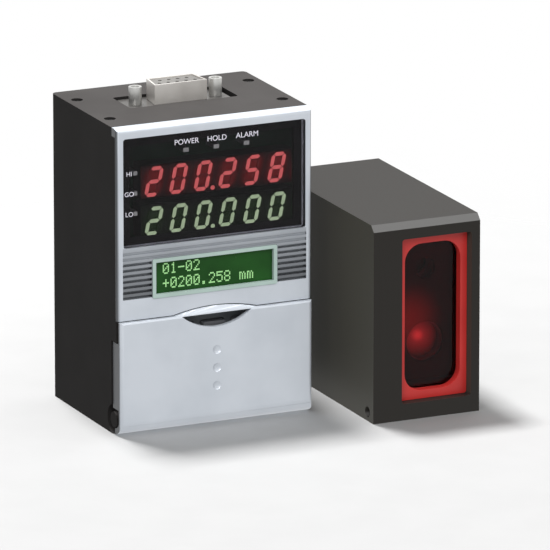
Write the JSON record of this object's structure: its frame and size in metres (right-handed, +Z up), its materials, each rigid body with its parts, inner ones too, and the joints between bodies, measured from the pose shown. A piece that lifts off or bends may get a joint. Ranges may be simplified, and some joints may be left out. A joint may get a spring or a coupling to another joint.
{
  "type": "laser displacement sensor",
  "caption": "Laser displacement sensor in two standing units: a controller with digit displays, hinged key cover and data connector, and a box-shaped laser head with a red-framed window.",
  "frame": {"origin": "centre of the controller's base", "axes": "+Z up, the displays and the laser window face -Y, the head stands on the +X side"},
  "size_m": [0.1047, 0.0762, 0.0952],
  "materials": {
    "case_black": "fine moulded grain",
    "bezel_silver": "silver paint",
    "window_smoke": "polished, smoked",
    "board_green": "solder mask",
    "red_digits": "moulded",
    "green_digits": "moulded",
    "lamp": "clear",
    "lcd_frame": "satin",
    "lcd_glass": "polished",
    "lcd_white": "moulded",
    "panel_grey": "fine grain",
    "key_grey": "satin",
    "knob_white": "satin",
    "part_black": "moulded",
    "plated_steel": "tin plated",
    "screw_black": "blacked",
    "head_paint": "black paint on die casting",
    "frame_red": "moulded",
    "filter_glass": "polished",
    "lens_glass": "polished",
    "optic_metal": "machined",
    "diode_gold": "gold plated"
  },
  "bodies": {
    "instrument": {"rear_case": "case_black", "top_cover": "case_black", "front_bezel": "bezel_silver", "display_window": "window_smoke", "display_board": "board_green", "red_digit_module": "red_digits", "green_digit_module": "green_digits", "indicator_leds": "lamp", "lcd_frame": "lcd_frame", "lcd_glass": "lcd_glass", "lcd_module": "lcd_white", "key_panel": "panel_grey", "key_board": "board_green", "tact_switches": "part_black", "mode_switch": "part_black", "main_board": "board_green", "power_board": "board_green", "dsub_shell": "plated_steel", "dsub_insert": "part_black", "jack_screws": "plated_steel", "case_screws": "screw_black", "head_connector": "part_black", "head_case": "head_paint", "head_side_cover": "head_paint", "head_cover_screws": "screw_black", "window_frame": "frame_red", "front_glass": "filter_glass", "aperture_mask": "part_black", "optical_base": "optic_metal", "emitter_barrel": "optic_metal", "collimator_lens": "lens_glass", "laser_diode": "diode_gold", "diode_board": "board_green", "receiver_barrel": "optic_metal", "receiver_lens": "lens_glass", "imager_board": "board_green", "imager_chip": "part_black", "driver_board": "board_green", "cable_gland": "part_black"},
    "cover": {"key_cover": "bezel_silver"},
    "mode_knob": {"mode_switch_knob": "knob_white"},
    "key_f1": {"key_f1": "key_grey"},
    "key_f2": {"key_f2": "key_grey"},
    "key_f3": {"key_f3": "key_grey"},
    "key_f4": {"key_f4": "key_grey"},
    "key_up": {"key_up": "key_grey"},
    "key_down": {"key_down": "key_grey"},
    "key_left": {"key_left": "key_grey"},
    "key_right": {"key_right": "key_grey"},
    "key_set": {"key_set": "key_grey"},
    "key_escape": {"key_escape": "key_grey"}
  },
  "joints": [
    {"name": "cover_hinge", "type": "hinge", "parent": "instrument", "child": "cover", "pos_m": [0, -0.0204, 0.0044], "axis": [1, 0, 0], "range_deg": [0, 90]},
    {"name": "mode_slide", "type": "slide", "parent": "instrument", "child": "mode_knob", "axis": [1, 0, 0], "range_m": [-0.003, 0.003]},
    {"name": "key_f1_press", "type": "slide", "parent": "instrument", "child": "key_f1", "axis": [0, 1, 0], "range_m": [0, 0.0005], "stiffness_N_per_m": 1500},
    {"name": "key_f2_press", "type": "slide", "parent": "instrument", "child": "key_f2", "axis": [0, 1, 0], "range_m": [0, 0.0005], "stiffness_N_per_m": 1500},
    {"name": "key_f3_press", "type": "slide", "parent": "instrument", "child": "key_f3", "axis": [0, 1, 0], "range_m": [0, 0.0005], "stiffness_N_per_m": 1500},
    {"name": "key_f4_press", "type": "slide", "parent": "instrument", "child": "key_f4", "axis": [0, 1, 0], "range_m": [0, 0.0005], "stiffness_N_per_m": 1500},
    {"name": "key_up_press", "type": "slide", "parent": "instrument", "child": "key_up", "axis": [0, 1, 0], "range_m": [0, 0.0005], "stiffness_N_per_m": 1500},
    {"name": "key_down_press", "type": "slide", "parent": "instrument", "child": "key_down", "axis": [0, 1, 0], "range_m": [0, 0.0005], "stiffness_N_per_m": 1500},
    {"name": "key_left_press", "type": "slide", "parent": "instrument", "child": "key_left", "axis": [0, 1, 0], "range_m": [0, 0.0005], "stiffness_N_per_m": 1500},
    {"name": "key_right_press", "type": "slide", "parent": "instrument", "child": "key_right", "axis": [0, 1, 0], "range_m": [0, 0.0005], "stiffness_N_per_m": 1500},
    {"name": "key_set_press", "type": "slide", "parent": "instrument", "child": "key_set", "axis": [0, 1, 0], "range_m": [0, 0.0005], "stiffness_N_per_m": 1500},
    {"name": "key_escape_press", "type": "slide", "parent": "instrument", "child": "key_escape", "axis": [0, 1, 0], "range_m": [0, 0.0005], "stiffness_N_per_m": 1500}
  ]
}
